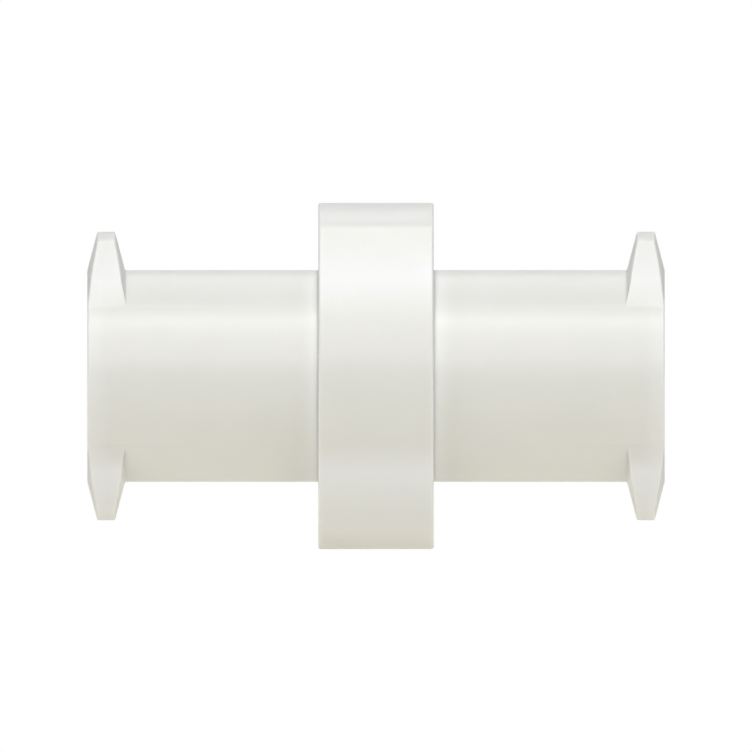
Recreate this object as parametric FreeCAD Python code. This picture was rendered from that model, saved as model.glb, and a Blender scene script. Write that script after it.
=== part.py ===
import FreeCAD, Part

import math
import os

from FreeCAD import Base

# A push fit coupling for two plastic tubes of 6 mm. Millimetres.
# +X runs along the tube axis, from the left socket to the right one. Wings and lugs point along +Z and -Z.
# The origin is the middle of the tube axis. Both ends are alike, so only the right-hand pieces are described:
# the left-hand ones are their mirror images in the plane x = 0.

# Tube
tube_radius = 3.0
tube_bore_radius = 2.0

# Outside
half_length = 18.0
barrel_radius = 6.6
collar_half_width = 3.6
collar_crest_radius = 10.8
collar_corner_y = 5.05
collar_corner_radius = 1.6
hub_radius = 9.0
collar_edge_radius = 0.15
lug_crest_radius = 9.0
lug_crest_width = 1.1
lug_base_width = 2.35
lug_corner_y = 3.07
lug_foot_z = 4.46
end_chamfer = 0.12

# Inside of the winged body
stop_half_width = 0.75
socket_radius = tube_radius + 0.05
socket_depth = 3.55
socket_lead_in = 0.15
spigot_radius = 5.6
spigot_end = 7.6

# Seal ring and washer
seal_section_radius = 0.85
seal_inner_radius = tube_radius + 0.06
seat_clearance = 0.01
washer_thickness = 0.8
washer_inner_radius = 3.2
washer_side_clearance = 0.05

# Cone ring, held between the spigot and the barrel's lip
cavity_radius = 4.6
cone_start = 11.2
cone_slope = 0.325
neck_radius = 3.92
cone_ring_end = 14.3

# Barrel mouth
lip_thickness = 0.8
lip_radius = 4.2
mouth_radius = 5.0

# Release sleeve, drawn in its outer, gripping position
sleeve_travel = 1.2
sleeve_bore_radius = 3.1
finger_bore_radius = 3.25
shank_radius = 3.85
barb_radius = 4.45
cone_clearance = 0.06
head_radius = 4.85
head_home_gap = 0.05
head_recess = 0.05
head_lead_in = 0.3
head_edge = 0.12
finger_tip = 9.2
finger_count = 6
slot_width = 0.8
slot_root = 13.5
relief_radius = 0.5

# Teeth
tooth_tip_radius = 3.06
tooth_root_radius = 4.1
tooth_tip_x = 10.1
tooth_rake = 0.7
tooth_thickness = 0.28
tooth_angle = 34.0

# Worked out from the above
seat_radius = seal_inner_radius + 2 * seal_section_radius + seat_clearance
seat_floor = stop_half_width + socket_depth
washer_outer_radius = seat_radius - washer_side_clearance
washer_end = spigot_end - washer_side_clearance
mouth_floor = cone_ring_end + lip_thickness
head_back = mouth_floor + head_home_gap + sleeve_travel
head_front = half_length - head_recess
clearance_overlap = 1.0

ORIGIN = Base.Vector(0, 0, 0)
X_AXIS = Base.Vector(1, 0, 0)


def turned(outline, start_angle=-180.0, sweep=360.0):
    """Turn an (x, r) outline about the X axis. Angles are counted from +Z, towards -Y."""
    corners = [Base.Vector(x, 0, r) for x, r in outline]
    face = Part.Face(Part.makePolygon(corners + corners[:1]))
    face.rotate(ORIGIN, X_AXIS, start_angle)
    return face.revolve(ORIGIN, X_AXIS, sweep)


def tube(start, end, inner_radius, outer_radius):
    return turned([(start, inner_radius), (end, inner_radius), (end, outer_radius), (start, outer_radius)])


def flared_prism(start, end, corner_y, corner_z, foot_y, foot_z, top_z):
    """A block between two planes of constant x, narrow at the top and bottom and wider towards the axis."""
    upper = [(corner_y, top_z), (corner_y, corner_z), (foot_y, foot_z)]
    right = upper + [(y, -z) for y, z in reversed(upper)]
    left = [(-y, -z) for y, z in right]
    corners = [Base.Vector(start, y, z) for y, z in right + left]
    face = Part.Face(Part.makePolygon(corners + corners[:1]))
    return face.extrude(Base.Vector(end - start, 0, 0))


def on_circle(radius, other):
    return math.sqrt(radius ** 2 - other ** 2)


def edges_of(shape, wanted):
    return [edge for edge in shape.Edges if all(wanted(vertex.Point) for vertex in edge.Vertexes)]


def rim_point(y, z, radius=0.0, angle=0.0):
    """A point in the plane of the collar's left face. Angles are counted from +Y, towards +Z."""
    return Base.Vector(-collar_half_width, y + radius * math.cos(angle), z + radius * math.sin(angle))


def rim_arc(centre_y, centre_z, radius, start, end):
    points = [rim_point(centre_y, centre_z, radius, angle) for angle in (start, (start + end) / 2, end)]
    return Part.Arc(*points).toShape()


def collar():
    """The hub with a wing above and below it, all rounded. The wings' flat sides are tangent to the hub."""
    sharp_corner_z = on_circle(collar_crest_radius, collar_corner_y)
    flat_angle = math.atan2(sharp_corner_z, collar_corner_y) - math.acos(hub_radius / collar_crest_radius)
    reach = collar_crest_radius - collar_corner_radius
    corner_angle = flat_angle + math.acos((hub_radius - collar_corner_radius) / reach)
    corner_y = reach * math.cos(corner_angle)
    corner_z = reach * math.sin(corner_angle)
    half = [
        rim_arc(0, 0, hub_radius, -flat_angle, flat_angle),
        rim_arc(corner_y, corner_z, collar_corner_radius, flat_angle, corner_angle),
        rim_arc(0, 0, collar_crest_radius, corner_angle, math.pi - corner_angle),
        rim_arc(-corner_y, corner_z, collar_corner_radius, math.pi - corner_angle, math.pi - flat_angle),
    ]
    outline = half + [edge.rotated(ORIGIN, X_AXIS, 180) for edge in half]
    flat_ends = [
        rim_point(0, 0, hub_radius, flat_angle),
        rim_point(corner_y, corner_z, collar_corner_radius, flat_angle),
    ]
    for y_side in (-1, 1):
        for z_side in (-1, 1):
            outline.append(Part.makeLine(*[rim_point(y_side * end.y, z_side * end.z) for end in flat_ends]))
    face = Part.Face(Part.Wire(Part.sortEdges(outline)[0]))
    solid = face.extrude(Base.Vector(2 * collar_half_width, 0, 0))
    rims = edges_of(solid, lambda point: abs(abs(point.x) - collar_half_width) < 1e-6)
    return solid.makeFillet(collar_edge_radius, rims)


def winged_body():
    """The collar with a spigot on each side. Inside: the tube stop, two tube sockets and two seal seats."""
    spigots = tube(-spigot_end, spigot_end, tube_bore_radius, spigot_radius)
    solid = collar().fuse(spigots)
    bore = [
        (stop_half_width, 0),
        (stop_half_width, socket_radius),
        (seat_floor - socket_lead_in, socket_radius),
        (seat_floor, socket_radius + socket_lead_in),
        (seat_floor, seat_radius),
        (spigot_end + clearance_overlap, seat_radius),
        (spigot_end + clearance_overlap, 0),
    ]
    socket = turned(bore)
    water_way = Part.makeCylinder(tube_bore_radius, 2 * half_length, Base.Vector(-half_length, 0, 0), X_AXIS)
    return solid.cut(water_way).cut(socket).cut(mirrored(socket)).removeSplitter()


def lugs():
    """Two lugs with conical flanks at the barrel's open end, above and below it."""
    flank = (lug_base_width - lug_crest_width) / 2
    base = half_length - lug_base_width
    ring = [
        (base, spigot_radius),
        (half_length, spigot_radius),
        (half_length, barrel_radius),
        (half_length - flank, lug_crest_radius),
        (base + flank, lug_crest_radius),
        (base, barrel_radius),
    ]
    flanks = flared_prism(
        base - clearance_overlap,
        half_length + clearance_overlap,
        lug_corner_y,
        on_circle(lug_crest_radius, lug_corner_y),
        on_circle(barrel_radius, lug_foot_z),
        lug_foot_z,
        lug_crest_radius + clearance_overlap,
    )
    return turned(ring).common(flanks)


def barrel():
    """The outer tube. Its lip holds the cone ring, and its mouth takes the head of the release sleeve."""
    outline = [
        (collar_half_width, spigot_radius),
        (cone_ring_end, spigot_radius),
        (cone_ring_end, lip_radius),
        (mouth_floor, lip_radius),
        (mouth_floor, mouth_radius),
        (half_length - end_chamfer, mouth_radius),
        (half_length, mouth_radius + end_chamfer),
        (half_length, barrel_radius),
        (collar_half_width, barrel_radius),
    ]
    return turned(outline).fuse(lugs()).removeSplitter()


def seal_ring():
    middle_radius = seal_inner_radius + seal_section_radius
    middle_x = (seat_floor + washer_end - washer_thickness) / 2
    return Part.makeTorus(middle_radius, seal_section_radius, Base.Vector(middle_x, 0, 0), X_AXIS)


def backup_washer():
    return tube(washer_end - washer_thickness, washer_end, washer_inner_radius, washer_outer_radius)


def cone_ring():
    """Its cone closes the fingers on the tube as they are drawn outwards."""
    cone_end = cone_start + (cavity_radius - neck_radius) / cone_slope
    outline = [
        (spigot_end, cavity_radius),
        (cone_start, cavity_radius),
        (cone_end, neck_radius),
        (cone_ring_end, neck_radius),
        (cone_ring_end, spigot_radius),
        (spigot_end, spigot_radius),
    ]
    return turned(outline)


def finger_slots():
    """Slots between the fingers, each ending in a round relief hole."""
    slots = []
    for index in range(finger_count):
        angle = 360.0 * index / finger_count
        slot = Part.makeBox(
            slot_root - finger_tip + clearance_overlap,
            slot_width,
            half_length,
            Base.Vector(finger_tip - clearance_overlap, -slot_width / 2, 0),
        )
        relief = Part.makeCylinder(relief_radius, half_length, Base.Vector(slot_root, 0, 0))
        slot = slot.fuse(relief)
        slot.rotate(ORIGIN, X_AXIS, angle)
        slots.append(slot)
    return slots


def teeth():
    """One blade in each finger. Its edge leans inwards, so a tube slides in but can't be pulled out."""
    root_x = tooth_tip_x + tooth_rake
    outline = [
        (tooth_tip_x, tooth_tip_radius),
        (tooth_tip_x + tooth_thickness, tooth_tip_radius),
        (root_x + tooth_thickness, tooth_root_radius),
        (root_x, tooth_root_radius),
    ]
    pitch = 360.0 / finger_count
    starts = [(index + 0.5) * pitch - tooth_angle / 2 for index in range(finger_count)]
    return [turned(outline, start, tooth_angle) for start in starts]


def release_sleeve():
    """A head, a shank and spring fingers with conical backs."""
    barb_back = cone_start + (cavity_radius - cone_clearance - barb_radius) / cone_slope
    shank_start = cone_start + (cavity_radius - cone_clearance - shank_radius) / cone_slope
    outline = [
        (finger_tip, finger_bore_radius),
        (finger_tip, barb_radius),
        (barb_back, barb_radius),
        (shank_start, shank_radius),
        (head_back, shank_radius),
        (head_back, head_radius),
        (head_front - head_edge, head_radius),
        (head_front, head_radius - head_edge),
        (head_front, sleeve_bore_radius + head_lead_in),
        (head_front - head_lead_in, sleeve_bore_radius),
        (slot_root, sleeve_bore_radius),
        (slot_root - (finger_bore_radius - sleeve_bore_radius), finger_bore_radius),
    ]
    return turned(outline).cut(finger_slots() + teeth())


def mirrored(shape):
    return shape.mirror(ORIGIN, X_AXIS)


def both_sides(name, shape):
    return {"left_" + name: mirrored(shape), "right_" + name: shape}


def coupling():
    nodes = {"winged_body": winged_body()}
    nodes.update(both_sides("barrel", barrel()))
    nodes.update(both_sides("seal_ring", seal_ring()))
    nodes.update(both_sides("backup_washer", backup_washer()))
    nodes.update(both_sides("cone_ring", cone_ring()))
    nodes.update(both_sides("release_sleeve", release_sleeve()))
    for number, tooth in enumerate(teeth(), start=1):
        nodes.update(both_sides("tooth_%d" % number, tooth))
    return nodes


os.makedirs("parts", exist_ok=True)
for node, shape in coupling().items():
    shape.exportStep("parts/%s.step" % node)
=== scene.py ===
import math

import bmesh
import bpy
from mathutils import Matrix, Vector


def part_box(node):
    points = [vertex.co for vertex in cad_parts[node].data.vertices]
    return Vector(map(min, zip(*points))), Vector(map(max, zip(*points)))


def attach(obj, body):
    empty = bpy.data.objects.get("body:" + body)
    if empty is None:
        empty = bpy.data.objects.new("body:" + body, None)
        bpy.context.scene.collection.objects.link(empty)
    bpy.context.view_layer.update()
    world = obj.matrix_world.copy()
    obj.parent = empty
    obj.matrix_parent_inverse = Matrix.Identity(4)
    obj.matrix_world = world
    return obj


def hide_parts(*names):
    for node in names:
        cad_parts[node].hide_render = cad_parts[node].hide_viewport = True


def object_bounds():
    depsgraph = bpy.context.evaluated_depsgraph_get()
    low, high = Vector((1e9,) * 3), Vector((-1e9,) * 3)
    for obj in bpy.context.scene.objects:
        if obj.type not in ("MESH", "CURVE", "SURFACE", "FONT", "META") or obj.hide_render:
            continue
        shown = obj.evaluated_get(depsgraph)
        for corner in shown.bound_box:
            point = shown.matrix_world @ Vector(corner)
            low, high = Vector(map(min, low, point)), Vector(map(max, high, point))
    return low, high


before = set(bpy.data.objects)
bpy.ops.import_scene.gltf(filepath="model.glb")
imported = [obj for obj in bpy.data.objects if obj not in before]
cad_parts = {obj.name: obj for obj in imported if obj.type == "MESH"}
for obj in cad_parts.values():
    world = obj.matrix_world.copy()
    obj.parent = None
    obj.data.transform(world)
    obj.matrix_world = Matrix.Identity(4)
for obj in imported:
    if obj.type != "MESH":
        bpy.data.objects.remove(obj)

cad_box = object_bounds()

MM = 0.001
SIDES = {"left": -1, "right": 1}

# ---- Sizes, in metres. Those taken from a box come from the frame, the others match the part. ----

body_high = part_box("winged_body")[1]
barrel_low, barrel_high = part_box("right_barrel")
sleeve_low, sleeve_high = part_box("right_release_sleeve")
washer_low, washer_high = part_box("right_backup_washer")
cone_low, cone_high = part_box("right_cone_ring")
seal_low, seal_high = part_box("right_seal_ring")

collar_half_width = barrel_low.x
collar_crest_radius = body_high.z
collar_corner_y = 5.05 * MM
collar_corner_radius = 1.6 * MM
hub_radius = body_high.y
collar_edge = 0.15 * MM
spigot_end = body_high.x
spigot_radius = cone_high.z

half_length = barrel_high.x
barrel_radius = barrel_high.y
lug_crest_radius = barrel_high.z
lug_crest_width = 1.1 * MM
lug_base_width = 2.35 * MM
lug_corner_angle = math.asin(3.07 * MM / lug_crest_radius)
lug_edge = 0.14 * MM
lug_stages = 3
small_edge = 0.1 * MM

stop_half_width = 0.75 * MM
water_way_radius = 2.0 * MM
socket_radius = 3.05 * MM
seat_floor = 4.3 * MM
seat_radius = seal_high.z + 0.01 * MM
lead_in = 0.15 * MM

cavity_radius = 4.6 * MM
cone_start = 11.2 * MM
cone_slope = 0.325
cone_clearance = 0.06 * MM
neck_radius = 3.92 * MM
lip_radius = 4.2 * MM
lip_thickness = 0.8 * MM
mouth_radius = 5.0 * MM

finger_count = 6
finger_bore_radius = 3.25 * MM
sleeve_bore_radius = 3.1 * MM
shank_radius = 3.85 * MM
barb_radius = 4.45 * MM
slot_root = 13.5 * MM
head_thickness = 1.6 * MM
head_lead_in = 0.3 * MM
seal_section_radius = 0.85 * MM
washer_inner_radius = 3.2 * MM

cone_end = cone_start + (cavity_radius - neck_radius) / cone_slope
barb_back = cone_start + (cavity_radius - cone_clearance - barb_radius) / cone_slope
shank_start = cone_start + (cavity_radius - cone_clearance - shank_radius) / cone_slope

SAME_PLACE = 1e-7
TURN_STEPS = 144
collar_arc_steps = 44
collar_corner_steps = 12
seal_section_steps = 28
steps_per_slot = 5
lug_foot_steps = 19
lug_foot_angle = lug_foot_steps * 2 * math.pi / TURN_STEPS


# ---- Mesh work ----

def turn_outline(mesh, outline, closed=True):
    """Turns (x, r) points about the X axis and adds the faces to the mesh."""
    corners = [mesh.verts.new((x, 0, r)) for x, r in outline]
    ends = corners[1:] + corners[:1] if closed else corners[1:]
    edges = [mesh.edges.new(pair) for pair in zip(corners, ends)]
    bmesh.ops.spin(
        mesh,
        geom=corners + edges,
        cent=(0, 0, 0),
        axis=(1, 0, 0),
        angle=2 * math.pi,
        steps=TURN_STEPS,
        use_merge=True,
    )


def turned(outline):
    mesh = bmesh.new()
    turn_outline(mesh, outline)
    bmesh.ops.recalc_face_normals(mesh, faces=mesh.faces)
    return mesh


def soften(mesh, width, wanted, segments=3, least_angle=math.radians(25)):
    """Rounds the edges that turn by more than the least angle and that are wanted."""
    edges = [
        edge
        for edge in mesh.edges
        if edge.is_manifold and edge.calc_face_angle() > least_angle and wanted(edge)
    ]
    bmesh.ops.bevel(
        mesh,
        geom=edges,
        offset=width,
        offset_type="OFFSET",
        affect="EDGES",
        segments=segments,
        profile=0.5,
        material=-1,
        clamp_overlap=True,
    )


def open_edges_at(mesh, x):
    return [
        edge for edge in mesh.edges
        if edge.is_boundary and all(abs(vert.co.x - x) < SAME_PLACE for vert in edge.verts)
    ]


def angle_from_vertical(point):
    """The angle about the X axis from +Z or -Z, whichever is nearer."""
    if abs(point.z) > 1e-9:
        return math.atan(point.y / point.z)
    return math.copysign(math.pi / 2, point.y)


def piece(name, mesh, body, material, node, side=1):
    """Makes a finished piece of a mesh that was modelled for the right-hand side."""
    if side < 0:
        bmesh.ops.scale(mesh, vec=(-1, 1, 1), verts=mesh.verts)
        bmesh.ops.reverse_faces(mesh, faces=mesh.faces)
    data = bpy.data.meshes.new(name)
    mesh.to_mesh(data)
    mesh.free()
    data.shade_smooth()
    data.set_sharp_from_angle(angle=math.radians(32))
    made = bpy.data.objects.new(name, data)
    bpy.context.scene.collection.objects.link(made)
    even = made.modifiers.new("even_shading", "WEIGHTED_NORMAL")
    even.keep_sharp = True
    data.materials.append(material)
    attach(made, body)
    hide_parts(node)


# ---- The winged body ----

def collar_outline():
    """(y, z) points round the collar: its hub, the flat sides that leave it at a tangent, and the two
    crests with their rounded corners.
    """
    corner_z = math.sqrt(collar_crest_radius ** 2 - collar_corner_y ** 2)
    flat_angle = math.atan2(corner_z, collar_corner_y) - math.acos(hub_radius / collar_crest_radius)
    reach = collar_crest_radius - collar_corner_radius
    corner_angle = flat_angle + math.acos((hub_radius - collar_corner_radius) / reach)
    corner = (reach * math.cos(corner_angle), reach * math.sin(corner_angle))
    mirrored_corner = (-corner[0], corner[1])
    corner_sweep = corner_angle - flat_angle
    crest_sweep = math.pi - 2 * corner_angle
    arcs = (
        ((0, 0), hub_radius, -flat_angle, 2 * flat_angle, collar_arc_steps),
        (corner, collar_corner_radius, flat_angle, corner_sweep, collar_corner_steps),
        ((0, 0), collar_crest_radius, corner_angle, crest_sweep, collar_arc_steps),
        (mirrored_corner, collar_corner_radius, math.pi - corner_angle, corner_sweep, collar_corner_steps),
    )
    points = []
    for towards in (1, -1):
        for centre, radius, start, sweep, steps in arcs:
            for step in range(steps + 1):
                angle = start + sweep * step / steps
                y = centre[0] + radius * math.cos(angle)
                z = centre[1] + radius * math.sin(angle)
                points.append((towards * y, towards * z))
    return points


def winged_body():
    mesh = bmesh.new()
    mesh.faces.new([mesh.verts.new((-collar_half_width, y, z)) for y, z in collar_outline()])
    bmesh.ops.remove_doubles(mesh, verts=mesh.verts, dist=0.001 * MM)
    grown = bmesh.ops.extrude_face_region(mesh, geom=mesh.faces[:])
    far_verts = [item for item in grown["geom"] if isinstance(item, bmesh.types.BMVert)]
    bmesh.ops.translate(mesh, verts=far_verts, vec=(2 * collar_half_width, 0, 0))
    bmesh.ops.recalc_face_normals(mesh, faces=mesh.faces)
    soften(mesh, collar_edge, lambda edge: True, segments=4)
    many_sided_ends = [face for face in mesh.faces if len(face.verts) > 8]
    bmesh.ops.delete(mesh, geom=many_sided_ends, context="FACES_ONLY")
    right_half = [
        (stop_half_width, water_way_radius),
        (stop_half_width, socket_radius),
        (seat_floor - lead_in, socket_radius),
        (seat_floor, socket_radius + lead_in),
        (seat_floor, seat_radius),
        (spigot_end, seat_radius),
        (spigot_end, spigot_radius),
        (collar_half_width, spigot_radius),
    ]
    left_half = [(-x, r) for x, r in reversed(right_half)]
    turn_outline(mesh, left_half + right_half, closed=False)
    for side in SIDES.values():
        bmesh.ops.bridge_loops(mesh, edges=open_edges_at(mesh, side * collar_half_width))
    bmesh.ops.recalc_face_normals(mesh, faces=mesh.faces)
    return mesh


# ---- The pieces of one side, all modelled on the right ----

def lug_side_angle(radius):
    """Half the angle that a lug spans at a radius. Its flat sides run from the crest to the barrel."""
    foot = Vector((math.sin(lug_foot_angle), math.cos(lug_foot_angle))) * barrel_radius
    corner = Vector((math.sin(lug_corner_angle), math.cos(lug_corner_angle))) * lug_crest_radius
    along = (corner - foot).normalized()
    distance = abs(foot.x * along.y - foot.y * along.x)
    normal_angle = math.atan2(along.y, -along.x)
    return normal_angle - math.acos(distance / radius)


def raise_lugs(mesh):
    """Extrudes the barrel's end zone, above and below, in stages up to the crests."""
    base = half_length - lug_base_width
    middle = half_length - lug_base_width / 2
    top = [
        face for face in mesh.faces
        if face.calc_center_median().x > base
        and abs(angle_from_vertical(face.calc_center_median())) < lug_foot_angle
        and math.hypot(*face.calc_center_median().yz) > (mouth_radius + barrel_radius) / 2
        and abs(face.normal.x) < 0.1
    ]
    for stage in range(1, lug_stages + 1):
        share = stage / lug_stages
        before = (stage - 1) / lug_stages
        radius = barrel_radius + share * (lug_crest_radius - barrel_radius)
        radius_before = barrel_radius + before * (lug_crest_radius - barrel_radius)
        turn = lug_side_angle(radius) / lug_side_angle(radius_before)
        width = lug_base_width + share * (lug_crest_width - lug_base_width)
        width_before = lug_base_width + before * (lug_crest_width - lug_base_width)
        grown = bmesh.ops.extrude_face_region(mesh, geom=top)
        bmesh.ops.delete(mesh, geom=top, context="FACES")
        top = [item for item in grown["geom"] if isinstance(item, bmesh.types.BMFace)]
        for vert in [item for item in grown["geom"] if isinstance(item, bmesh.types.BMVert)]:
            angle = angle_from_vertical(vert.co) * turn
            up = math.copysign(radius, vert.co.z)
            x = middle + (vert.co.x - middle) * width / width_before
            vert.co = (x, up * math.sin(angle), up * math.cos(angle))


def barrel():
    base = half_length - lug_base_width
    mouth_floor = cone_high.x + lip_thickness
    mesh = turned([
        (collar_half_width, spigot_radius),
        (cone_high.x, spigot_radius),
        (cone_high.x, lip_radius),
        (mouth_floor, lip_radius),
        (mouth_floor, mouth_radius),
        (half_length, mouth_radius),
        (half_length, barrel_radius),
        (base, barrel_radius),
        (collar_half_width, barrel_radius),
    ])
    raise_lugs(mesh)
    bmesh.ops.recalc_face_normals(mesh, faces=mesh.faces)
    soften(mesh, lug_edge, lambda edge: min(vert.co.x for vert in edge.verts) > mouth_floor)
    # The rounding overshoots the end face slightly at the lugs' feet.
    for vert in mesh.verts:
        vert.co.x = min(vert.co.x, half_length)
    return mesh


def seal_ring():
    middle_x = (seal_low.x + seal_high.x) / 2
    middle_radius = seal_high.z - seal_section_radius
    section = []
    for step in range(seal_section_steps):
        turn = 2 * math.pi * step / seal_section_steps
        x = middle_x + seal_section_radius * math.cos(turn)
        section.append((x, middle_radius + seal_section_radius * math.sin(turn)))
    return turned(section)


def backup_washer():
    mesh = turned([
        (washer_low.x, washer_inner_radius),
        (washer_high.x, washer_inner_radius),
        (washer_high.x, washer_high.z),
        (washer_low.x, washer_high.z),
    ])
    soften(mesh, small_edge, lambda edge: True)
    return mesh


def cone_ring():
    mesh = turned([
        (cone_low.x, cavity_radius),
        (cone_start, cavity_radius),
        (cone_end, neck_radius),
        (cone_high.x, neck_radius),
        (cone_high.x, cone_high.z),
        (cone_low.x, cone_high.z),
    ])
    soften(mesh, small_edge, lambda edge: True, least_angle=math.radians(60))
    return mesh


def cut_slots(mesh):
    """Opens a slot between each finger and the next, and closes its walls."""
    step = 2 * math.pi / TURN_STEPS

    def in_slot(face):
        middle = face.calc_center_median()
        if middle.x > slot_root:
            return False
        turn = math.atan2(-middle.y, middle.z) % (2 * math.pi / finger_count)
        nearest = min(turn, 2 * math.pi / finger_count - turn)
        return nearest < step * steps_per_slot / 2

    def way_out(edge):
        """The direction from the axis to an edge, across the axis."""
        return sum((vert.co.yz.normalized() for vert in edge.verts), Vector((0, 0))).normalized()

    bmesh.ops.delete(mesh, geom=[face for face in mesh.faces if in_slot(face)], context="FACES")
    roots = open_edges_at(mesh, slot_root)
    for index in range(finger_count):
        middle = 2 * math.pi * index / finger_count
        facing = Vector((-math.sin(middle), math.cos(middle)))
        bmesh.ops.bridge_loops(mesh, edges=[edge for edge in roots if way_out(edge).dot(facing) > 0.95])
    bmesh.ops.holes_fill(mesh, edges=[edge for edge in mesh.edges if edge.is_boundary], sides=0)
    bmesh.ops.recalc_face_normals(mesh, faces=mesh.faces)


def release_sleeve():
    head_back = sleeve_high.x - head_thickness
    bore_step = finger_bore_radius - sleeve_bore_radius
    mesh = turned([
        (sleeve_low.x, finger_bore_radius),
        (sleeve_low.x, barb_radius),
        (barb_back, barb_radius),
        (shank_start, shank_radius),
        (slot_root, shank_radius),
        (head_back, shank_radius),
        (head_back, sleeve_high.z),
        (sleeve_high.x, sleeve_high.z),
        (sleeve_high.x, sleeve_bore_radius + head_lead_in),
        (sleeve_high.x - head_lead_in, sleeve_bore_radius),
        (slot_root, sleeve_bore_radius),
        (slot_root - bore_step, finger_bore_radius),
    ])
    bmesh.ops.rotate(
        mesh,
        verts=mesh.verts,
        cent=(0, 0, 0),
        matrix=Matrix.Rotation(math.pi / TURN_STEPS, 3, "X"),
    )
    soften(mesh, small_edge, lambda edge: min(vert.co.x for vert in edge.verts) > slot_root + small_edge)
    cut_slots(mesh)
    return mesh


# ---- Materials ----

class Reading:
    """A node's output, with arithmetic for the numbers that vary over a surface."""

    def __init__(self, shading, socket):
        self.shading = shading
        self.socket = socket

    def math(self, operation, *inputs):
        return self.shading.node("ShaderNodeMath", {"operation": operation}, dict(enumerate(inputs)))

    def __add__(self, other):
        return self.math("ADD", self, other)

    def __rsub__(self, other):
        return self.math("SUBTRACT", other, self)

    def __mul__(self, other):
        return self.math("MULTIPLY", self, other)

    def __abs__(self):
        return self.math("ABSOLUTE", self)

    def __pow__(self, other):
        return self.math("POWER", self, other)

    __radd__ = __add__
    __rmul__ = __mul__


class Shading:
    """A node tree that is being filled."""

    def __init__(self, tree):
        self.tree = tree
        tree.nodes.clear()

    def node(self, kind, settings, inputs, output=0):
        made = self.tree.nodes.new(kind)
        for name, value in settings.items():
            setattr(made, name, value)
        for name, value in inputs.items():
            if isinstance(value, Reading):
                self.tree.links.new(value.socket, made.inputs[name])
            else:
                made.inputs[name].default_value = value
        return Reading(self, made.outputs[output])

    def show(self, kind, shader):
        output = self.tree.nodes.new(kind)
        self.tree.links.new(shader.socket, output.inputs["Surface"])


class Finish(Shading):
    """A material that is being made."""

    def __init__(self, name):
        self.material = bpy.data.materials.new(name)
        self.material.use_nodes = True
        super().__init__(self.material.node_tree)

    def place(self):
        return self.node("ShaderNodeTexCoord", {}, {}, "Object")

    def axis(self, name):
        return self.node("ShaderNodeSeparateXYZ", {}, {"Vector": self.place()}, name)

    def stretched(self, scale):
        return self.node("ShaderNodeMapping", {}, {"Vector": self.place(), "Scale": scale})

    def noise(self, size, detail=3.0, place=None):
        """Cloudy noise whose lumps are about the given size in metres."""
        sockets = {"Vector": place or self.place(), "Scale": 1 / size, "Detail": detail}
        return self.node("ShaderNodeTexNoise", {}, sockets)

    def band(self, reading, low, high):
        """0 at the low reading, 1 at the high one, smooth between them. The low one may be the greater."""
        settings = {"interpolation_type": "SMOOTHSTEP"}
        sockets = {"Value": reading, "From Min": low, "From Max": high}
        return self.node("ShaderNodeMapRange", settings, sockets)

    def mix(self, factor, first, second):
        sockets = {"Factor": factor, 6: first, 7: second}
        return self.node("ShaderNodeMix", {"data_type": "RGBA"}, sockets, 2)

    def bump(self, height, depth, normal=None):
        sockets = {"Height": height, "Distance": depth, "Strength": 1.0}
        if normal:
            sockets["Normal"] = normal
        return self.node("ShaderNodeBump", {}, sockets)

    def done(self, **sockets):
        names = {name.replace("_", " "): value for name, value in sockets.items()}
        self.show("ShaderNodeOutputMaterial", self.node("ShaderNodeBsdfPrincipled", {}, names))
        return self.material


def natural_plastic():
    """Natural polypropylene: milky and faintly warm. Its colour holds painted light: a painted glow makes
    it paler where the lugs, wings and open ends are thin, standing in for light shining through thin
    plastic, and painted light makes the barrels paler close to the collar, cancelling the shade that the
    collar casts on them.
    """
    finish = Finish("natural_polypropylene")
    along, across, up = (finish.axis(name) for name in "XYZ")
    reach = (across * across + up * up) ** 0.5
    off_barrel = finish.band(reach, 6.7 * MM, 7.3 * MM)
    raised = finish.band(abs(up), 4.2 * MM, 6.2 * MM)
    near_crest = finish.band(abs(up), 5.8 * MM, 9.0 * MM)
    # Painted glow: whiter colour on the raised lugs and wings, standing in for light shining through them.
    painted_thin_glow = off_barrel * raised * (1 - 0.8 * near_crest)
    # Painted glow: paler colour at the barrels' open ends, standing in for light shining through the thin
    # end walls.
    painted_end_glow = 0.5 * finish.band(abs(along), 16.6 * MM, 17.6 * MM)
    off_collar = finish.band(abs(along), 3.5 * MM, 3.6 * MM)
    # Painted light: paler colour on the barrels beside the collar, cancelling the shade that the collar
    # casts there.
    painted_collar_light = finish.band(abs(along), 5.4 * MM, 3.6 * MM) ** 2 * off_collar
    clouds = finish.noise(4 * MM, detail=2.0)
    streaks = finish.noise(0.5 * MM, detail=3.0, place=finish.stretched((0.25, 1, 1)))
    grain = finish.noise(0.12 * MM, detail=2.0)
    ripple = finish.noise(1.2 * MM, detail=2.0)
    deep_milk = (0.745, 0.75, 0.72, 1)
    milk = (0.79, 0.79, 0.768, 1)
    # The colour of the painted glow on thin parts and open ends.
    painted_glow_milk = (0.82, 0.83, 0.835, 1)
    # The colour of the painted light beside the collar.
    lit_milk = (0.87, 0.875, 0.86, 1)
    colour = finish.mix(0.7 * clouds + 0.3 * streaks, deep_milk, milk)
    # Painted glow on thin parts and open ends, then painted light beside the collar.
    colour = finish.mix((1 - painted_thin_glow) * painted_end_glow + painted_thin_glow, colour, painted_glow_milk)
    colour = finish.mix(painted_collar_light, colour, lit_milk)
    return finish.done(
        Base_Color=colour,
        Roughness=0.31 + 0.05 * ripple + 0.05 * clouds,
        IOR=1.49,
        Specular_IOR_Level=0.8,
        Subsurface_Weight=1.0,
        Subsurface_Radius=(1.0, 0.95, 0.85),
        Subsurface_Scale=0.3 * MM,
        Normal=finish.bump(grain, 0.004 * MM, finish.bump(ripple, 0.01 * MM)),
    )


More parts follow.
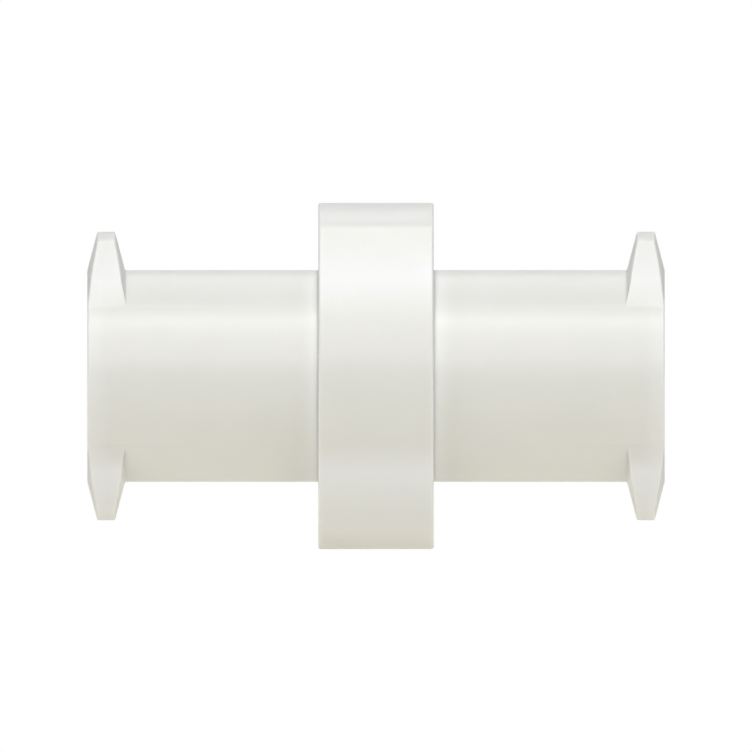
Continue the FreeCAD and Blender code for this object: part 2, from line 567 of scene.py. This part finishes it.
def white_acetal():
    finish = Finish("white_acetal")
    grain = finish.noise(0.1 * MM, detail=2.0)
    clouds = finish.noise(2 * MM)
    colour = finish.mix(clouds, (0.84, 0.84, 0.81, 1), (0.88, 0.88, 0.86, 1))
    return finish.done(
        Base_Color=colour,
        Roughness=0.35 + 0.1 * clouds,
        Normal=finish.bump(grain, 0.003 * MM),
    )


def silicone_rubber():
    finish = Finish("clear_silicone")
    grain = finish.noise(0.15 * MM, detail=2.0)
    clouds = finish.noise(1.5 * MM)
    colour = finish.mix(clouds, (0.74, 0.76, 0.74, 1), (0.80, 0.81, 0.79, 1))
    return finish.done(
        Base_Color=colour,
        Roughness=0.38 + 0.15 * grain,
        Subsurface_Weight=0.4,
        Subsurface_Scale=0.5 * MM,
        Normal=finish.bump(grain, 0.003 * MM),
    )


def stainless_steel():
    finish = Finish("stamped_stainless")
    brushing = finish.noise(0.08 * MM, detail=4.0, place=finish.stretched((1, 1, 12)))
    colour = finish.mix(brushing, (0.55, 0.55, 0.54, 1), (0.68, 0.68, 0.67, 1))
    return finish.done(
        Base_Color=colour,
        Metallic=1.0,
        Roughness=0.22 + 0.18 * brushing,
        Normal=finish.bump(brushing, 0.002 * MM),
    )


# ---- Putting it together ----

plastic = natural_plastic()
acetal = white_acetal()
silicone = silicone_rubber()
steel = stainless_steel()

piece("winged_body_moulding", winged_body(), "coupling_body", plastic, "winged_body")

one_side = [
    ("barrel", barrel, "natural_plastic", plastic),
    ("seal_ring", seal_ring, "clear_silicone", silicone),
    ("backup_washer", backup_washer, "white_acetal", acetal),
    ("cone_ring", cone_ring, "white_acetal", acetal),
]
for side_name, side in SIDES.items():
    for name, shape, slot, material in one_side:
        node = f"{side_name}_{name}"
        piece(f"{node}_detailed", shape(), "coupling_body", material, node, side)
    node = f"{side_name}_release_sleeve"
    body = f"{side_name}_sleeve"
    piece(f"{node}_detailed", release_sleeve(), body, plastic, node, side)
    for number in range(1, finger_count + 1):
        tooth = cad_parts[f"{side_name}_tooth_{number}"]
        tooth.data.materials.clear()
        tooth.data.materials.append(steel)


# ---- Studio ----

def softbox(name, place, size, power):
    """A rectangular soft light that faces the origin."""
    light = bpy.data.lights.new(name, "AREA")
    light.shape = "RECTANGLE"
    light.size, light.size_y = size
    light.energy = power
    made = bpy.data.objects.new(name, light)
    made.location = place
    made.rotation_euler = (-made.location).to_track_quat("-Z", "Y").to_euler()
    bpy.context.scene.collection.objects.link(made)


def pale_surroundings():
    """White to look at. As a light it dims from the front and back towards the two ends."""
    world = bpy.data.worlds.new("surroundings")
    bpy.context.scene.world = world
    world.use_nodes = True
    around = Shading(world.node_tree)
    direction = around.node("ShaderNodeTexCoord", {}, {}, "Generated")
    endwise = around.node("ShaderNodeSeparateXYZ", {}, {"Vector": direction}, "X")
    seen = around.node("ShaderNodeLightPath", {}, {}, "Is Camera Ray")
    lighting = sky_strength * (1 - endwise * endwise)
    level = around.node("ShaderNodeMix", {}, {"Factor": seen, 2: lighting, 3: 1.0})
    white = {"Color": (1, 1, 1, 1), "Strength": level}
    around.show("ShaderNodeOutputWorld", around.node("ShaderNodeBackground", {}, white))


def floor():
    """A lit, pale table top, so that what stands on it is bright from below as well."""
    mesh = bmesh.new()
    bmesh.ops.create_grid(mesh, x_segments=1, y_segments=1, size=floor_half_width)
    bmesh.ops.translate(mesh, verts=mesh.verts, vec=(0, 0, cad_box[0].z))
    data = bpy.data.meshes.new("floor")
    mesh.to_mesh(data)
    mesh.free()
    made = bpy.data.objects.new("floor", data)
    bpy.context.scene.collection.objects.link(made)
    paint = Finish("pale_floor")
    data.materials.append(paint.done(
        Base_Color=(0.4, 0.39, 0.36, 1),
        Roughness=0.9,
        Specular_IOR_Level=0.0,
        Emission_Color=(1.0, 0.97, 0.88, 1),
        Emission_Strength=floor_glow,
    ))


def camera():
    """Square on to the side, with no perspective."""
    lens = bpy.data.cameras.new("camera")
    lens.type = "ORTHO"
    lens.ortho_scale = view_width
    lens.clip_start = 1 * MM
    made = bpy.data.objects.new("camera", lens)
    made.location = (0, -camera_distance, 0)
    made.rotation_euler = (math.pi / 2, 0, 0)
    bpy.context.scene.collection.objects.link(made)
    bpy.context.scene.camera = made


length_share_of_view = 0.7677
view_width = 2 * half_length / length_share_of_view
camera_distance = 0.6
floor_half_width = 1.5
sky_strength = 0.7
floor_glow = 0.55
strip_width = 0.06

bpy.context.scene.view_settings.view_transform = "Standard"
pale_surroundings()
floor()
camera()
softbox("key", place=(0, -0.175, 0.36), size=(strip_width, 0.10), power=0.2)
softbox("front_strip", place=(0, -0.4, 0.3), size=(strip_width, 0.5), power=0.68)
softbox("top_strip", place=(0, 0.15, 0.5), size=(strip_width, 0.7), power=0.3)

bpy.context.view_layer.update()
